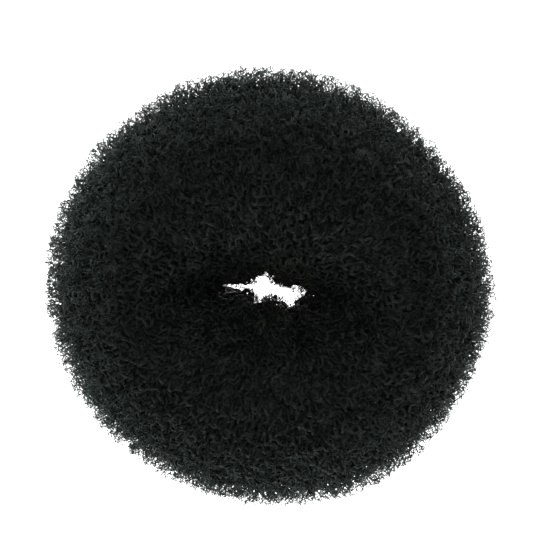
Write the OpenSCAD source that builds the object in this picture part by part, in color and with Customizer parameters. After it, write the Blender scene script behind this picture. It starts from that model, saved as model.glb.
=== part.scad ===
// A soft ring that a bun of hair is wound around. It is one sleeve of knitted net, rolled
// up on itself, so that its section is a spiral of net and its hole is pressed to a slit.
// Millimetres, +Z up. The ring lies flat on Z = 0, with its hole around the Z axis.

/* [Ring] */
// Width of the ring across its outside
outer_d = 89; // [78:1:110]
// Height of the ring as it lies
ring_h = 37; // [30:1:44]
// Depth of the roll that is pressed flat where it lies
flat_h = 0.8; // [0.4:0.1:1.6]

/* [Hole] */
// Length of the slit-shaped hole
hole_l = 18.5; // [15:0.5:24]
// Width of the hole at its middle
hole_w = 8; // [7:0.5:14]

/* [Rolled sleeve] */
// Thickness of one layer of the net
net_t = 5; // [3.5:0.25:7]
// Space between two layers of the roll
layer_gap = 0.4; // [0.3:0.05:0.8]
// Thickness of the sleeve's free edge
edge_t = 1.6; // [1:0.1:3]
// Where the free edge lies around the roll, in degrees: 180 is in the hole, 270 is below
edge_at = 215; // [195:5:235]
// Width of the open middle of the roll
eye_d = 5; // [3:0.5:8]

/* [Crease] */
// Depth of the crease beside the hole, where it is deepest
crease_depth = 9; // [4:0.5:12]
// Width of the crease
crease_w = 9; // [6:0.5:12]

/* [Hidden] */

// The ring's form at 12 places around it, counter-clockwise from +X and evenly spaced. The
// shares are of outer_d / 2, of the hole's ellipse and of ring_h.
// outer share, hole share, height share
STATIONS = [
    [1.000, 1.00, 0.97],
    [0.976, 0.66, 0.98],
    [0.978, 0.74, 1.00],
    [0.996, 0.92, 1.00],
    [0.998, 0.94, 0.99],
    [1.004, 0.86, 0.98],
    [1.000, 1.00, 0.97],
    [0.986, 1.00, 0.99],
    [0.972, 0.98, 1.00],
    [0.990, 1.05, 0.99],
    [1.012, 1.16, 1.00],
    [0.992, 1.22, 0.98],
];
OUTER = 0;
HOLE = 1;
HEIGHT = 2;

// The crease where the two halves of the ring are pinched together, from one side of the
// hole to the other. Its places are shares of outer_d / 2.
// x share, y share, depth share
CREASE = [
    [-0.57, -0.16, 0.00],
    [-0.44, -0.02, 0.50],
    [-0.29, 0.05, 1.00],
    [0.27, -0.02, 0.95],
    [0.37, -0.11, 0.50],
    [0.45, -0.22, 0.00],
];
DEPTH = 2;

sections = 48;      // sections around the ring
outer_step = 12;    // degrees between points on the outermost turn
inner_step = 36;    // degrees between points on the turns inside it
lap = 36;           // degrees over which the net thins to its free edge
cut_room = 2;       // how far the flattening cut reaches past the ring

// The roll's mean radius, and the turns that it holds
roll_r = (outer_d - (hole_l + hole_w) / 2) / 4;
eye_r = eye_d / 2;
turns = max(2, floor((roll_r - eye_r + layer_gap) / (net_t + layer_gap)));
last_turn = 360 * (turns - 1);
wrap_end = 360 * turns - lap;

function smooth(u) = let (c = max(0, min(1, u))) c * c * (3 - 2 * c);
function mix(a, b, t) = a + (b - a) * t;

// A smooth closed curve through one column of STATIONS
function station(az, column) =
    let (
        n = len(STATIONS),
        u = az * n / 360,
        i = floor(u),
        t = u - i,
        p = [for (k = [i - 1:i + 2]) STATIONS[(k + n) % n][column]]
    )
    p[1] + t * (p[2] - p[0]) / 2
        + t * t * (p[0] - 2.5 * p[1] + 2 * p[2] - p[3] / 2)
        + t * t * t * (3 * p[1] - p[0] - 3 * p[2] + p[3]) / 2;

function outer_radius(az) = outer_d / 2 * station(az, OUTER);
function hole_radius(az) =
    station(az, HOLE) * hole_l * hole_w / 2 / norm([hole_w * cos(az), hole_l * sin(az)]);
function half_width(az) = (outer_radius(az) - hole_radius(az)) / 2;
function half_height(az) = (ring_h + flat_h) / 2 * station(az, HEIGHT);

// How far the outside of the net lies in from the roll's surface, after it has gone
// wrap degrees around the roll from its free edge
function depth(wrap) =
    wrap < 360
        ? (edge_t + layer_gap) * smooth((wrap - 360) / lap + 1)
        : depth(wrap - 360) + plain_thickness(wrap - 360) + layer_gap;
function plain_thickness(wrap) = mix(edge_t, net_t, smooth(wrap / lap));

// The net's thickness there. The innermost turn is bunched up to the roll's open middle.
function thickness(wrap) =
    let (spare = roll_r - eye_r - depth(wrap) - plain_thickness(wrap))
    plain_thickness(wrap) + max(0, spare) * smooth((wrap - last_turn) / lap);

// The share of its height that the top of the roll loses to the crease at a place
function crease_share(place) =
    let (lost = [
        for (i = [0:len(CREASE) - 2])
            let (
                a = outer_d / 2 * [CREASE[i].x, CREASE[i].y],
                b = outer_d / 2 * [CREASE[i + 1].x, CREASE[i + 1].y],
                t = max(0, min(1, (place - a) * (b - a) / ((b - a) * (b - a)))),
                away = 2 * norm(place - mix(a, b, t)) / crease_w
            )
            mix(CREASE[i][DEPTH], CREASE[i + 1][DEPTH], t) * exp(-away * away)
    ])
    2 * crease_depth / ring_h * max(lost);

// A point of the section at az, a share of the way from the roll's middle to its surface
function roll_point(az, angle, share) =
    let (
        r = hole_radius(az) + half_width(az) * (1 + share * cos(angle)),
        place = r * [cos(az), sin(az)],
        rise = half_height(az) * share * sin(angle)
    )
    [
        place.x,
        place.y,
        half_height(az) - flat_h + rise * (rise > 0 ? 1 - crease_share(place) : 1),
    ];

wraps = [
    for (w = 0; w < wrap_end - outer_step; w = w + (w < 360 ? outer_step : inner_step)) w,
    wrap_end
];

// One section: out along the net's outside from its free edge, and back along its inside
function section(az) = concat(
    [for (w = wraps) roll_point(az, edge_at + w, 1 - depth(w) / roll_r)],
    [
        for (i = [len(wraps) - 1:-1:0])
            let (w = wraps[i])
            roll_point(az, edge_at + w, 1 - (depth(w) + thickness(w)) / roll_r)
    ]
);

// The net as one closed solid, swept around the ring
module net_roll() {
    n = 2 * len(wraps);
    points = [for (k = [0:sections - 1]) each section(k * 360 / sections)];
    faces = [
        for (k = [0:sections - 1], i = [0:n - 1])
            let (
                a = k * n + i,
                b = k * n + (i + 1) % n,
                c = (k + 1) % sections * n + i,
                d = (k + 1) % sections * n + (i + 1) % n
            )
            each [[a, b, d], [a, d, c]]
    ];
    polyhedron(points, faces);
}

module rolled_sleeve() {
    cut_w = 2 * outer_d;
    cut_h = flat_h + cut_room;
    color([0.09, 0.10, 0.10])
        difference() {
            net_roll();
            translate([-cut_w / 2, -cut_w / 2, -cut_h])
                cube([cut_w, cut_w, cut_h]);
        }
}

rolled_sleeve();
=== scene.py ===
import math

import bpy
import numpy as np
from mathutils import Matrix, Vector
from mathutils.bvhtree import BVHTree


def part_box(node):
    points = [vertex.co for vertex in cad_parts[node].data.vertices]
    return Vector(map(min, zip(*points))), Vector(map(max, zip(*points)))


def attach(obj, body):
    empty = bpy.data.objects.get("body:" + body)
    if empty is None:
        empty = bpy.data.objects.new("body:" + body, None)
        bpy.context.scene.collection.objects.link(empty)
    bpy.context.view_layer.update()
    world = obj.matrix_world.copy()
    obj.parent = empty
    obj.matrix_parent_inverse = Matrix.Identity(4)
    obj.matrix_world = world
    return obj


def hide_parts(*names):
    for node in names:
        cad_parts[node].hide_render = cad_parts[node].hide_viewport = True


# A hair ring of rolled net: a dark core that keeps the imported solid's form, round it a net of
# crimped nylon thread, knitted course by course, and fine curls that stand out of the thread.
# Lengths are in millimetres until a mesh is made, and angles in radians, unless a comment says
# otherwise. An az is an angle around the ring, from +X. A turn is an angle around the roll,
# from its outermost line at the rim: it is half of pi on top, and pi in the middle hole.

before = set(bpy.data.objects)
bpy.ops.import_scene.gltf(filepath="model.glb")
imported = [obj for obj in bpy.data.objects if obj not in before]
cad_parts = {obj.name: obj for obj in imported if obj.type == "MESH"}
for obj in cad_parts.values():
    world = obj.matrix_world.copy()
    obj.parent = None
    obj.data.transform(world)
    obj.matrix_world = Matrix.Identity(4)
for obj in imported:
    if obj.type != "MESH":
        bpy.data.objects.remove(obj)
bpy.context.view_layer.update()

MM = 0.001
SLEEVE = "rolled_sleeve"

# The picture's frame
IMAGE_PX = 550              # width and height of the image
MM_PER_PX = 0.2045          # at the ring's middle height
RING_AT_PX = (270.1, 290.1) # the ring's middle in the image
TILT = math.radians(13)     # how far the camera leans from straight above, towards +Y
LENS = 135.0                # focal length
SENSOR = 36.0               # width of the sensor
VIEW_START = 10.0           # nearest distance that the camera sees

# The light and the floor, in metres
TENT_SIDES = 1.045          # strength of the light tent at the horizon
TENT_TOP = 0.65             # and overhead
TENT_EDGE = 0.55            # sine of the elevation from which it is as it is overhead
TENT_COLOR = (0.96, 1.0, 0.985, 1)
LAMPS = [
    {"name": "key", "place": (0.05, 0.36, 0.64), "size": 0.50, "power": 1.7},
    {"name": "fill", "place": (-0.30, -0.82, 0.10), "size": 0.50, "power": 6.5},
]
LAMP_AIM = (0, 0, 0.018)    # where the lamps look
FLOOR_HALF = 3.0            # half the floor's width
FLOOR_COLOR = (0.92, 0.92, 0.92, 1)
FLOOR_GLOW = 2.2            # light of its own, so that no shadow shows

# The ring's form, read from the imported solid
FORM_AZ = 144               # rays around the ring
FORM_TURN = 120             # rays around the roll
FORM_BLUR = (1.6, 1.6)      # rays over which the facets are smoothed away, each way
RAY_START = 1.6             # how far outside the roll's ellipse a ray starts
LAP_STEPS = 720             # steps in which one way around the ring is measured
NORMAL_STEP = 0.02          # angle to each side over which the form's slope is taken
ROLL_R = 18.5               # mean radius of the roll's section

# The net's edge round the middle hole: azimuth in degrees, distance from the middle
HOLE_EDGE = [
    (-6, 6.9), (3, 6.7), (8, 6.7), (13, 6.2), (18, 3.8), (30, 3.2), (48, 3.1),
    (66, 2.2), (76, 2.6), (84, 4.1), (96, 4.0), (108, 4.6), (120, 4.6), (132, 3.7),
    (150, 4.5), (162, 5.6), (167, 5.2), (172, 9.8), (181, 10.8), (185, 6.8), (190, 4.4),
    (200, 3.5), (210, 4.0), (222, 4.0), (236, 4.3), (240, 2.3), (255, 2.2), (270, 2.2),
    (290, 2.5), (306, 2.7), (309, 3.0), (313, 6.8), (330, 5.8), (338, 6.6), (346, 7.4),
]
HOLE_REACH = 55             # degrees around the roll over which that edge shapes the net

# The layers of the net. Gap is the space between two courses, loop the length of one loop
# along the ring, and reach how far it swings across. Depth is how deep the layer lies, rise
# how far its thread rises and sinks, bunch and curl how far it strays in slow bunches and in
# quick curls, and thread its thickness. Start is the share of the way around the ring at
# which its courses start, and curls_at a place in the noise that its curls are taken from.
LAYERS = [
    {
        "name": "net_outer", "seed": 11, "gap": 1.62, "loop": 2.76, "reach": 0.88,
        "depth": 0.45, "rise": 0.27, "bunch": 0.24, "curl": 0.10, "thread": 0.90,
        "grey": 0.0136, "start": 11 / 30, "curls_at": 18,
    },
    {
        "name": "net_under", "seed": 13, "gap": 1.70, "loop": 2.88, "reach": 0.92,
        "depth": 1.05, "rise": 0.27, "bunch": 0.24, "curl": 0.10, "thread": 0.95,
        # Its grey is lighter than the outer layer's, as painted light against the shade that it
        # lies in
        "grey": 0.0244, "start": 13 / 30, "curls_at": 42,
    },
]
MOST_POINTS = 97500         # in one piece of the net, which has twice as many triangles
COURSE_STRAY = 0.08         # a course's stray, as a share of the gap and of a loop
LOOPS_BY = 12               # the loops of a course are a multiple of this number
LOOP_POINTS = 7             # points along one loop
LOOP_BULGE = 0.10           # how much wider than a plain wave a loop is at its ends
LOOP_BLUNT = 0.12           # and how much blunter
THREAD_SIDES = 4
THREAD_FLAT = 0.7           # a thread's height against its width
THREAD_UNEVEN = 0.22        # how much its thickness varies
THREAD_RANGE = (0.2, 1.3)   # its least and greatest thickness
RISE_LOOP = 0.15            # shares of the thread's rise that its loops give
RISE_BUNCH = 0.35           # its bunches
RISE_CURL = 0.85            # and its curls
RIM_RISE = 2.3              # how much farther the thread rises and sinks at the rim
RIM_SINK = 1.4              # how much deeper it lies there, to leave room for the fuzz
RIM_THINNING = 0.53         # how much thinner it is there

# The noises of the bunches and of the curls: number of waves, longest and shortest
SLOW_WAVES = (24, 7.0, 3.2)
QUICK_WAVES = (32, 2.8, 1.5)

# The fine filaments that stand out of the net as small curls. They are thickest at the rim
# and in the middle hole, and stand highest at the rim.
FUZZ_PIECES = 3
FUZZ_SEED = 29              # of the first piece
FUZZ_CURLS = 6000           # most curls in one piece
FUZZ_TRIES = 90000          # places drawn for them
FUZZ_LEAST = 0.15           # least share of the rim's curls for the same area
FUZZ_RIM_FADE = 2.5         # how fast they thin away from the rim
FUZZ_HOLE = 1.4             # what is added to the share deep in the hole
FUZZ_HOLE_FADE = 8          # how fast they thin away from there
FUZZ_HEIGHT = 2.9           # height of the fuzz over the net at the rim
FUZZ_LOW = 0.35             # the hole's share of that height
FUZZ_HEIGHTS = 0.85         # under 1, more of the curls lie low than high
FUZZ_CLEAR = 0.9            # how far above the floor a curl's middle stays
FUZZ_LIFT = 0.1             # and the filament itself
FUZZ_LEAN = 0.55            # how far a curl leans from standing upright
FUZZ_RADIUS = (0.45, 1.00)  # a curl's least and greatest radius at the rim
FUZZ_SMALL = 0.45           # the hole's share of that radius
FUZZ_SLIM = (0.4, 1.0)      # a curl's width against its height
FUZZ_BEND = 2.4             # angle that it bends to each side of its middle
FUZZ_PITCH = 0.35           # how far it goes along its axis in each radian
FUZZ_SAG = 0.5              # how far it also waves along that axis
FUZZ_STEPS = 5              # points along it
FUZZ_THREAD = 0.155         # the filament's thickness
FUZZ_SIDES = 3              # its ends are closed by one triangle each
FUZZ_GREY = 0.033

# The core
CORE_GRID = (210, 132)      # points around the ring and around the roll
CORE_SEED = 5
CORE_WAVES = (24, 6.0, 3.0) # its lumps' noise: number of waves, longest and shortest
CORE_LUMPS = 0.3            # their height
CORE_DEPTH = 1.5            # how far the core lies under the net's outside on top and below
CORE_DEPTH_RIM = 1.6        # at the rim, where light comes through the net
CORE_DEPTH_HOLE = 1.8       # and in the middle hole
CORE_RIM_FROM = (0.2, 0.6)  # cosine from which the rim's depth takes over, and its span
CORE_HOLE_FROM = (0.4, 0.5) # and the same towards the hole

# Painted light and shade that the colours are multiplied by at distances from the ring's
# middle:
# darker over the roll, lighter near the hole, and lighter and greener at the rim. The inner
# ones are scaled by a painted middle light of each material's own.
INNER_PAINTED_LIGHT_AND_SHADE = [
    (5.0, (1.90, 1.90, 1.62)),
    (11.0, (1.08, 1.06, 1.06)),
    (29.0, (1.05, 1.04, 1.04)),
]
RIM_PAINTED_LIGHT = [
    (38.5, (0.70, 0.78, 0.74)),
    (45.0, (1.76, 1.92, 1.83)),
]
PAINTED_LIGHT_REACH = 100.0          # distance that the whole colour ramp stands for
NET_PAINTED_MIDDLE_LIGHT = 0.43
CORE_PAINTED_MIDDLE_LIGHT = 0.31
FUZZ_PAINTED_MIDDLE_LIGHT = 0.25

# Metres that are added to a place before its distance from the middle is taken, which moves the
# painted light and shade off the ring's middle
PAINTED_LIGHT_SHIFT = (-0.0011, -0.0024, 0)

# A thread's colours by its spots' noise, each times the thread's grey
THREAD_TINTS = [
    (0.36, (0.66, 0.74, 0.72)),
    (0.64, (1.34, 1.52, 1.45)),
]
THREAD_SPOTS = 330.0        # spots in a metre
THREAD_GLOSS = (0.80, 1.0, 0.92, 1)

# The core's colours by distance from the middle of each of its dents: painted shade, darker in
# the dents' middles, and lighter than the threads all over, as painted light against the shade
# it lies in
CORE_PAINTED_LIGHT_AND_SHADE = [
    (0.18, (0.0400, 0.0450, 0.0432)),
    (0.44, (0.0600, 0.0675, 0.0650)),
]
CORE_DENTS = 470.0          # dents in a metre
CORE_BENDS = 380.0          # bends of their outlines in a metre
CORE_BEND = 0.0020          # how far they bend, in metres
CORE_BUMP = 0.0008          # and how high the core stands between them

# The colour sockets of a Mix node, which share their names with its others
MIX_A = 6
MIX_B = 7
MIX_RESULT = 2


def unit(rows):
    """The vectors, each scaled to a length of 1."""
    return rows / np.linalg.norm(rows, axis=-1, keepdims=True)


def smooth_step(values, start, width):
    """A share that grows smoothly from 0 at start to 1 a width farther on."""
    t = np.clip((values - start) / width, 0, 1)
    return t * t * (3 - 2 * t)


def rimward(turn):
    """A share that is 1 at the rim and 0 in the middle hole."""
    return 0.5 + 0.5 * np.cos(turn)


def sunk(turn):
    """How far the net lies under the roll's outside, to leave room for the fuzz."""
    return RIM_SINK * rimward(turn)


def waves(rng, count, longest, shortest):
    """Random plane waves that a smooth noise is summed from."""
    ways = unit(rng.normal(size=(count, 3)))
    lengths = np.exp(rng.uniform(np.log(shortest), np.log(longest), count))
    return ways * (math.tau / lengths)[:, None], rng.uniform(0, math.tau, (3, count))


def noise(points, waving):
    """A smooth random vector at each point, with a spread of about 1 each way."""
    ways, phases = waving
    along = points @ ways.T
    count = len(ways)
    return np.stack([np.sin(along + p).sum(1) for p in phases], 1) * math.sqrt(2 / count)


def smoothed(grid, sizes):
    """A grid that is closed both ways, blurred by a Gaussian of these sizes."""
    out = np.fft.fft2(grid)
    for axis, size in enumerate(sizes):
        frequency = np.fft.fftfreq(grid.shape[axis])
        keep = np.exp(-2 * (math.pi * frequency * size) ** 2)
        out *= keep[:, None] if axis == 0 else keep[None, :]
    return np.fft.ifft2(out).real


def looked_up(grid, az, turn):
    """Values of a closed grid between its samples."""
    rows, columns = grid.shape
    u = (az / math.tau * rows) % rows
    v = (turn / math.tau * columns) % columns
    row = np.floor(u).astype(int)
    column = np.floor(v).astype(int)
    s = u - row
    t = v - column
    row %= rows
    column %= columns
    next_row = (row + 1) % rows
    next_column = (column + 1) % columns
    return (
        grid[row, column] * (1 - s) * (1 - t) + grid[next_row, column] * s * (1 - t)
        + grid[row, next_column] * (1 - s) * t + grid[next_row, next_column] * s * t
    )


def ray_length(tree, start, way):
    """How far a ray goes before it meets the solid."""
    *_, distance = tree.ray_cast(start, way)
    return distance


class Form:
    """The outside of the roll, as its distance from the roll's middle line."""

    def __init__(self, solid):
        tree = BVHTree.FromPolygons(
            [v.co / MM for v in solid.data.vertices], [p.vertices for p in solid.data.polygons]
        )
        low, high = (np.array(corner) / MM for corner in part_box(SLEEVE))
        self.middle_z = (high[2] - low[2]) / 2
        self.az = np.arange(FORM_AZ) * math.tau / FORM_AZ
        self.turn = np.arange(FORM_TURN) * math.tau / FORM_TURN
        outer, hole = self.read_walls(tree, 2 * high[0])
        middle = (outer + hole) / 2
        reached = self.read_roll(tree, middle, (outer - hole) / 2, high[2] / 2)
        self.middle = smoothed(np.repeat(middle[:, None], FORM_TURN, 1), FORM_BLUR)
        self.reached = smoothed(reached, FORM_BLUR)
        self.reached += self.to_hole_edge()
        self.circumference = math.tau * (
            middle.mean() + self.reached.mean(0) * np.cos(self.turn)
        )

    def read_walls(self, tree, reach):
        """Distances from the ring's middle to its outside and to the wall of its hole."""
        centre = Vector((0, 0, self.middle_z))
        outer = []
        hole = []
        for az in self.az:
            way = Vector((math.cos(az), math.sin(az), 0))
            outer.append(reach - ray_length(tree, centre + way * reach, -way))
            hole.append(ray_length(tree, centre, way))
        return np.array(outer), np.array(hole)

    def read_roll(self, tree, middle, wide, tall):
        """Distances from the roll's middle line to its outside, all around it."""
        reached = np.zeros((FORM_AZ, FORM_TURN))
        for i, az in enumerate(self.az):
            c = math.cos(az)
            s = math.sin(az)
            start = Vector((middle[i] * c, middle[i] * s, self.middle_z))
            for j, turn in enumerate(self.turn):
                aside = math.cos(turn)
                up = math.sin(turn)
                out = 1 / math.hypot(aside / wide[i], up / tall) + RAY_START
                way = Vector((aside * c, aside * s, up))
                reached[i, j] = out - ray_length(tree, start + way * out, -way)
        return reached

    def to_hole_edge(self):
        """What the roll has to reach farther to come to the net's edge round the hole."""
        edge_az, edge = zip(*HOLE_EDGE)
        wanted = np.interp(np.degrees(self.az), edge_az, edge, period=360)
        at_hole = FORM_TURN // 2
        short = self.middle[:, at_hole] - self.reached[:, at_hole] - wanted
        away = np.abs(np.degrees(self.turn) - 180) / HOLE_REACH
        share = np.where(away < 1, np.cos(away * math.pi / 2) ** 2, 0)
        return short[:, None] * share[None, :]

    def place(self, az, turn):
        """Points on the roll's outside."""
        reached = looked_up(self.reached, az, turn)
        r = looked_up(self.middle, az, turn) + reached * np.cos(turn)
        z = self.middle_z + reached * np.sin(turn)
        return np.stack([r * np.cos(az), r * np.sin(az), z], -1)

    def outward(self, az, turn):
        """Unit normals of the roll's outside."""
        along = self.place(az + NORMAL_STEP, turn) - self.place(az - NORMAL_STEP, turn)
        up = self.place(az, turn + NORMAL_STEP) - self.place(az, turn - NORMAL_STEP)
        return unit(np.cross(along, up))

    def lap(self, turn):
        """Shares of the way around at this turn, the azimuth's lead there, and the length."""
        az = np.linspace(0, math.tau, LAP_STEPS + 1)
        points = self.place(az, np.full(len(az), turn))
        steps = np.linalg.norm(np.diff(points, axis=0), axis=1)
        share = np.concatenate([[0], np.cumsum(steps)]) / steps.sum()
        return share[:-1], (az - math.tau * share)[:-1], steps.sum()


def add_object(name, data):
    """A new object in the scene."""
    thing = bpy.data.objects.new(name, data)
    bpy.context.scene.collection.objects.link(thing)
    return thing


def mesh_piece(name, points, faces, material):
    """A Blender object from points in millimetres and faces with as many sides each."""
    mesh = bpy.data.meshes.new(name)
    mesh.vertices.add(len(points))
    mesh.vertices.foreach_set("co", (points * MM).ravel())
    mesh.loops.add(faces.size)
    mesh.loops.foreach_set("vertex_index", faces.ravel())
    mesh.polygons.add(len(faces))
    mesh.polygons.foreach_set("loop_start", np.arange(0, faces.size, faces.shape[1]))
    mesh.polygons.foreach_set("use_smooth", np.ones(len(faces), bool))
    mesh.update(calc_edges=True)
    mesh.materials.append(material)
    piece = add_object(name, mesh)
    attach(piece, "root")
    return piece


def tube(path, outward, radius):
    """Points and four-sided faces of a thread along a path that closes on itself."""
    ahead = unit(np.roll(path, -1, 0) - np.roll(path, 1, 0))
    side = unit(np.cross(outward, ahead))
    up = np.cross(ahead, side)
    corner = np.arange(THREAD_SIDES)[:, None] + 0.5
    angle = math.pi / 2 + math.tau * corner / THREAD_SIDES
    around = side[:, None] * np.cos(angle) + up[:, None] * np.sin(angle) * THREAD_FLAT
    points = path[:, None] + radius[:, None, None] * around
    here = np.arange(len(path) * THREAD_SIDES).reshape(-1, THREAD_SIDES)
    beside = np.roll(here, -1, 1)
    faces = np.stack([here, beside, np.roll(beside, -1, 0), np.roll(here, -1, 0)], -1)
    return points.reshape(-1, 3), faces.reshape(-1, 4)


def filaments(paths, facing, radius):
    """Points and triangles of filaments along rows of paths with as many points each."""
    ahead = unit(np.gradient(paths, axis=1))
    side = unit(np.cross(facing, ahead))
    up = np.cross(ahead, side)
    angle = math.tau * np.arange(FUZZ_SIDES)[:, None] / FUZZ_SIDES
    around = side[:, :, None] * np.cos(angle) + up[:, :, None] * np.sin(angle)
    points = paths[:, :, None] + radius * around
    here = np.arange(math.prod(points.shape[:3])).reshape(points.shape[:3])
    beside = np.roll(here, -1, 2)
    one = np.stack([here[:, :-1], beside[:, :-1], beside[:, 1:]], -1)
    other = np.stack([here[:, :-1], beside[:, 1:], here[:, 1:]], -1)
    ends = np.stack([here[:, 0, ::-1], here[:, -1]])
    faces = np.concatenate([part.reshape(-1, 3) for part in (one, other, ends)])
    return points.reshape(-1, 3), faces


def course(form, layer, turn, shift, slow, quick):
    """The path of one course of loops around the ring, the way outward, and its thickness."""
    share, ahead, length = form.lap(turn)
    loops = LOOPS_BY * max(1, round(length / layer["loop"] / LOOPS_BY))
    t = np.arange(loops * LOOP_POINTS) / LOOP_POINTS
    along = (t + shift + LOOP_BULGE * np.sin(2 * math.tau * t)) / loops + layer["start"]
    az = math.tau * along + np.interp(along, share, ahead, period=1)
    wave = np.cos(math.tau * t) - LOOP_BLUNT * np.cos(3 * math.tau * t)
    at = turn + layer["reach"] * wave / ROLL_R
    out = form.outward(az, at)
    base = form.place(az, at)
    moved = noise(base, slow)
    curled = noise(base + layer["curls_at"], quick)
    rim = max(0.0, math.cos(turn)) ** 2
    swing = (
        RISE_LOOP * np.cos(2 * math.tau * t) + RISE_BUNCH * moved[:, 0]
        + RISE_CURL * curled[:, 0]
    )
    rise = layer["rise"] * (1 + RIM_RISE * rim) * swing - sunk(turn) - layer["depth"]
    # The noise's values come here in another order than for the rise
    aside = layer["bunch"] * moved[:, [1, 2, 0]] + layer["curl"] * curled[:, [1, 2, 0]]
    thick = layer["thread"] * (1 + THREAD_UNEVEN * curled[:, 1]) * (1 - RIM_THINNING * rim)
    return base + out * rise[:, None] + aside, out, np.clip(thick, *THREAD_RANGE)


def net_layer(form, layer, material):
    """One layer of knitted net, in as many pieces as its points need."""
    rng = np.random.default_rng(layer["seed"])
    slow = waves(rng, *SLOW_WAVES)
    quick = waves(rng, *QUICK_WAVES)
    courses = round(math.tau * ROLL_R / layer["gap"])
    batches = [[]]
    count = 0
    for i in range(courses):
        turn = math.tau * (i + rng.uniform(-COURSE_STRAY, COURSE_STRAY)) / courses
        shift = (i % 2) / 2 + rng.uniform(-COURSE_STRAY, COURSE_STRAY)
        path, out, thick = course(form, layer, turn, shift, slow, quick)
        points, faces = tube(path, out, thick / 2)
        if count and count + len(points) > MOST_POINTS:
            batches.append([])
            count = 0
        batches[-1].append((points, faces + count))
        count += len(points)
    for number, batch in enumerate(batches, 1):
        points, faces = (np.concatenate(arrays) for arrays in zip(*batch))
        mesh_piece(f"{layer['name']}_{number}", points, faces, material)


def fuzz(form, number, material):
    """One piece of the fine filaments that stand out of the net as small curls."""
    rng = np.random.default_rng(FUZZ_SEED + number)
    az, turn = rng.uniform(0, math.tau, (2, FUZZ_TRIES))
    near_rim = rimward(turn)
    around = np.interp(turn, form.turn, form.circumference, period=math.tau)
    share = (
        FUZZ_LEAST + (1 - FUZZ_LEAST) * near_rim ** FUZZ_RIM_FADE
        + FUZZ_HOLE * (1 - near_rim) ** FUZZ_HOLE_FADE
    )
    share *= around / form.circumference.max()
    height = FUZZ_HEIGHT * (FUZZ_LOW + (1 - FUZZ_LOW) * near_rim)
    rise = height * (1 - rng.uniform(0, 1, FUZZ_TRIES) ** FUZZ_HEIGHTS) - sunk(turn)
    centre = form.place(az, turn) + form.outward(az, turn) * rise[:, None]
    keep = (rng.uniform(0, 1, FUZZ_TRIES) < share) & (centre[:, 2] > FUZZ_CLEAR)
    keep = np.flatnonzero(keep)[:FUZZ_CURLS]
    centre = centre[keep]
    count = len(centre)
    upright = form.outward(az[keep], turn[keep])
    across = unit(upright + FUZZ_LEAN * rng.normal(size=(count, 3)))
    along = unit(np.cross(across, rng.normal(size=(count, 3))))
    axis = np.cross(across, along)
    smaller = FUZZ_SMALL + (1 - FUZZ_SMALL) * near_rim[keep]
    radius = (rng.uniform(*FUZZ_RADIUS, count) * smaller)[:, None, None]
    slim = rng.uniform(*FUZZ_SLIM, count)[:, None, None]
    t = np.linspace(-1, 1, FUZZ_STEPS)[None, :, None] * FUZZ_BEND
    sag = FUZZ_SAG * np.cos(2 * t) * rng.normal(0, 1, count)[:, None, None]
    paths = centre[:, None] + radius * (
        np.cos(t) * across[:, None] + slim * np.sin(t) * along[:, None]
        + (FUZZ_PITCH * t + sag) * axis[:, None]
    )
    paths[..., 2] = np.maximum(paths[..., 2], FUZZ_LIFT)
    facing = unit(rng.normal(size=(count, 1, 3)))
    points, faces = filaments(paths, facing, FUZZ_THREAD / 2)
    mesh_piece(f"fuzz_{number + 1}", points, faces, material)


def core_piece(form, material):
    """The dark inner body of the roll, under the loose threads."""
    rng = np.random.default_rng(CORE_SEED)
    rows, columns = CORE_GRID
    az, turn = np.meshgrid(
        np.arange(rows) * math.tau / rows,
        np.arange(columns) * math.tau / columns,
        indexing="ij",
    )
    base = form.place(az, turn).reshape(-1, 3)
    out = form.outward(az, turn).reshape(-1, 3)
    lumps = noise(base, waves(rng, *CORE_WAVES))[:, :1] * CORE_LUMPS
    cosine = np.cos(turn).reshape(-1, 1)
    depth = CORE_DEPTH + sunk(turn).reshape(-1, 1)
    depth += (CORE_DEPTH_RIM - CORE_DEPTH) * smooth_step(cosine, *CORE_RIM_FROM)
    depth += (CORE_DEPTH_HOLE - CORE_DEPTH) * smooth_step(-cosine, *CORE_HOLE_FROM)
    here = np.arange(rows * columns).reshape(rows, columns)
    beside = np.roll(here, -1, 0)
    faces = np.stack([here, beside, np.roll(beside, -1, 1), np.roll(here, -1, 1)], -1)
    return mesh_piece("roll_core", base + out * (lumps - depth), faces.reshape(-1, 4), material)


def feed(node, inputs):
    """Sets a node's inputs to values of their own, or links them to another node's output."""
    for name, value in inputs.items():
        if isinstance(value, bpy.types.NodeSocket):
            node.id_data.links.new(value, node.inputs[name])
        else:
            node.inputs[name].default_value = value


def new_node(tree, kind, inputs, **settings):
    """A node with these settings and inputs."""
    node = tree.nodes.new(kind)
    for name, value in settings.items():
        setattr(node, name, value)
    feed(node, inputs)
    return node


def new_ramp(tree, share, stops, interpolation):
    """The output of a colour ramp, whose stops are places in order and their colours."""
    node = new_node(tree, "ShaderNodeValToRGB", {"Fac": share})
    node.color_ramp.interpolation = interpolation
    elements = node.color_ramp.elements
    elements[0].position = stops[0][0]
    elements[1].position = stops[-1][0]
    for place, _ in stops[1:-1]:
        elements.new(place)
    for element, (_, color) in zip(elements, stops):
        element.color = (*color, 1)
    return node.outputs["Color"]


def scaled(color, factor):
    """The colour, times a number."""
    return [part * factor for part in color]


def new_material(name):
    """A material with nodes, and its shader."""
    material = bpy.data.materials.new(name)
    material.use_nodes = True
    return material, material.node_tree.nodes["Principled BSDF"]


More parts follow.
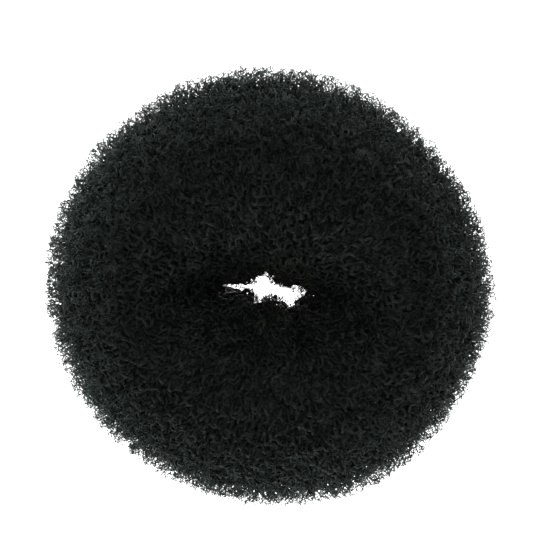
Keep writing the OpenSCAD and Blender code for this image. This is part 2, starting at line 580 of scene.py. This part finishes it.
def with_painted_light_and_shade(tree, place, color, painted_middle_light):
    """The colour times painted light and shade by distance from the ring's middle: lighter and
    greener towards the rim, where light comes through, darker over the roll and lighter near
    the hole.
    """
    level = (1, 1, 0)       # leaves out the height
    flat = new_node(
        tree, "ShaderNodeVectorMath", {0: place, 1: level, 2: PAINTED_LIGHT_SHIFT},
        operation="MULTIPLY_ADD",
    )
    far = new_node(
        tree, "ShaderNodeVectorMath", {0: flat.outputs["Vector"]}, operation="LENGTH"
    )
    share = new_node(
        tree, "ShaderNodeMath", {0: far.outputs["Value"], 1: 1 / (PAINTED_LIGHT_REACH * MM)},
        operation="MULTIPLY",
    )
    stops = [(at / PAINTED_LIGHT_REACH, scaled(tint, painted_middle_light)) for at, tint in INNER_PAINTED_LIGHT_AND_SHADE]
    stops += [(at / PAINTED_LIGHT_REACH, tint) for at, tint in RIM_PAINTED_LIGHT]
    light = new_ramp(tree, share.outputs["Value"], stops, "EASE")
    mixed = new_node(
        tree, "ShaderNodeMix", {"Factor": 1.0, MIX_A: color, MIX_B: light},
        data_type="RGBA", blend_type="MULTIPLY",
    )
    return mixed.outputs[MIX_RESULT]


def thread_material(name, grey, painted_middle_light):
    """Black nylon thread, a little greyer and greener on some stretches, under painted light
    and shade by distance from the ring's middle.
    """
    material, shader = new_material(name)
    tree = material.node_tree
    place = tree.nodes.new("ShaderNodeTexCoord").outputs["Object"]
    spots = new_node(
        tree, "ShaderNodeTexNoise", {"Vector": place, "Scale": THREAD_SPOTS, "Detail": 0.5}
    )
    stops = [(at, scaled(tint, grey)) for at, tint in THREAD_TINTS]
    color = new_ramp(tree, spots.outputs["Fac"], stops, "LINEAR")
    feed(shader, {
        "Base Color": with_painted_light_and_shade(tree, place, color, painted_middle_light),
        "Roughness": 0.45,
        "Specular IOR Level": 0.10,
        "Specular Tint": THREAD_GLOSS,
    })
    return material


def core_material():
    """The deeper layers of the net, nearly lost in shade, with painted light that lifts them
    and painted shade in the middles of their dents.
    """
    material, shader = new_material("net_in_shade")
    tree = material.node_tree
    place = tree.nodes.new("ShaderNodeTexCoord").outputs["Object"]
    bends = new_node(
        tree, "ShaderNodeTexNoise", {"Vector": place, "Scale": CORE_BENDS, "Detail": 1.0}
    )
    bent = new_node(
        tree, "ShaderNodeVectorMath",
        {0: bends.outputs["Color"], 1: (CORE_BEND, CORE_BEND, CORE_BEND), 2: place},
        operation="MULTIPLY_ADD",
    )
    dents = new_node(
        tree, "ShaderNodeTexVoronoi",
        {"Vector": bent.outputs["Vector"], "Scale": CORE_DENTS, "Smoothness": 0.3},
        feature="SMOOTH_F1",
    )
    color = new_ramp(tree, dents.outputs["Distance"], CORE_PAINTED_LIGHT_AND_SHADE, "LINEAR")
    bump = new_node(
        tree, "ShaderNodeBump",
        {"Height": dents.outputs["Distance"], "Strength": 0.8, "Distance": CORE_BUMP},
    )
    feed(shader, {
        "Base Color": with_painted_light_and_shade(tree, place, color, CORE_PAINTED_MIDDLE_LIGHT),
        "Normal": bump.outputs["Normal"],
        "Roughness": 0.75,
        "Specular IOR Level": 0.12,
    })
    return material


def floor_material():
    """A pale ground that shows no shadow."""
    material, shader = new_material("pale_floor")
    feed(shader, {
        "Base Color": FLOOR_COLOR,
        "Roughness": 0.9,
        "Specular IOR Level": 0.0,
        "Emission Color": (1, 1, 1, 1),
        "Emission Strength": FLOOR_GLOW,
    })
    return material


def add_floor():
    """A wide flat floor under the ring."""
    corners = [
        (-FLOOR_HALF, -FLOOR_HALF, 0),
        (FLOOR_HALF, -FLOOR_HALF, 0),
        (FLOOR_HALF, FLOOR_HALF, 0),
        (-FLOOR_HALF, FLOOR_HALF, 0),
    ]
    mesh = bpy.data.meshes.new("floor")
    mesh.from_pydata(corners, [], [(0, 1, 2, 3)])
    mesh.materials.append(floor_material())
    add_object("floor", mesh)


def add_light_tent():
    """A light tent, brighter at the sides than above."""
    world = bpy.data.worlds.new("studio")
    world.use_nodes = True
    tree = world.node_tree
    way = tree.nodes.new("ShaderNodeTexCoord")
    parts = new_node(tree, "ShaderNodeSeparateXYZ", {"Vector": way.outputs["Generated"]})
    strength = new_node(tree, "ShaderNodeMapRange", {
        "Value": parts.outputs["Z"],
        "From Min": 0.0,
        "From Max": TENT_EDGE,
        "To Min": TENT_SIDES,
        "To Max": TENT_TOP,
    })
    feed(tree.nodes["Background"], {
        "Color": TENT_COLOR,
        "Strength": strength.outputs["Result"],
    })
    bpy.context.scene.world = world


def add_lamp(name, place, size, power):
    """A square soft lamp that looks at the ring."""
    lamp = bpy.data.lights.new(name, "AREA")
    lamp.energy = power
    lamp.size = size
    light = add_object(name, lamp)
    light.location = place
    aim = Vector(LAMP_AIM) - Vector(place)
    light.rotation_euler = aim.to_track_quat("-Z", "Y").to_euler()


def add_camera(form):
    """The camera looks down from the +Y side, with +Y to the top of the picture."""
    camera_data = bpy.data.cameras.new("camera")
    camera_data.lens = LENS
    camera_data.sensor_width = SENSOR
    camera_data.clip_start = VIEW_START * MM
    distance = IMAGE_PX * MM_PER_PX * LENS / SENSOR
    back = np.array([0, math.sin(TILT), math.cos(TILT)])
    upward = np.array([0, math.cos(TILT), -math.sin(TILT)])
    aside = (IMAGE_PX / 2 - RING_AT_PX[0]) * MM_PER_PX
    above = (RING_AT_PX[1] - IMAGE_PX / 2) * MM_PER_PX
    target = np.array([aside, 0, form.middle_z]) + upward * above
    camera = add_object("camera", camera_data)
    camera.location = Vector((target + back * distance) * MM)
    camera.rotation_euler = (-TILT, 0, 0)
    bpy.context.scene.camera = camera


form = Form(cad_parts[SLEEVE])
core = core_piece(form, core_material())
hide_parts(SLEEVE)
for layer in LAYERS:
    yarn = thread_material(f"black_nylon_{layer['name']}", layer["grey"], NET_PAINTED_MIDDLE_LIGHT)
    net_layer(form, layer, yarn)
filament = thread_material("black_nylon_fuzz", FUZZ_GREY, FUZZ_PAINTED_MIDDLE_LIGHT)
for number in range(FUZZ_PIECES):
    fuzz(form, number, filament)
add_floor()
add_light_tent()
for lamp in LAMPS:
    add_lamp(**lamp)
add_camera(form)
bpy.context.scene.view_settings.view_transform = "Standard"
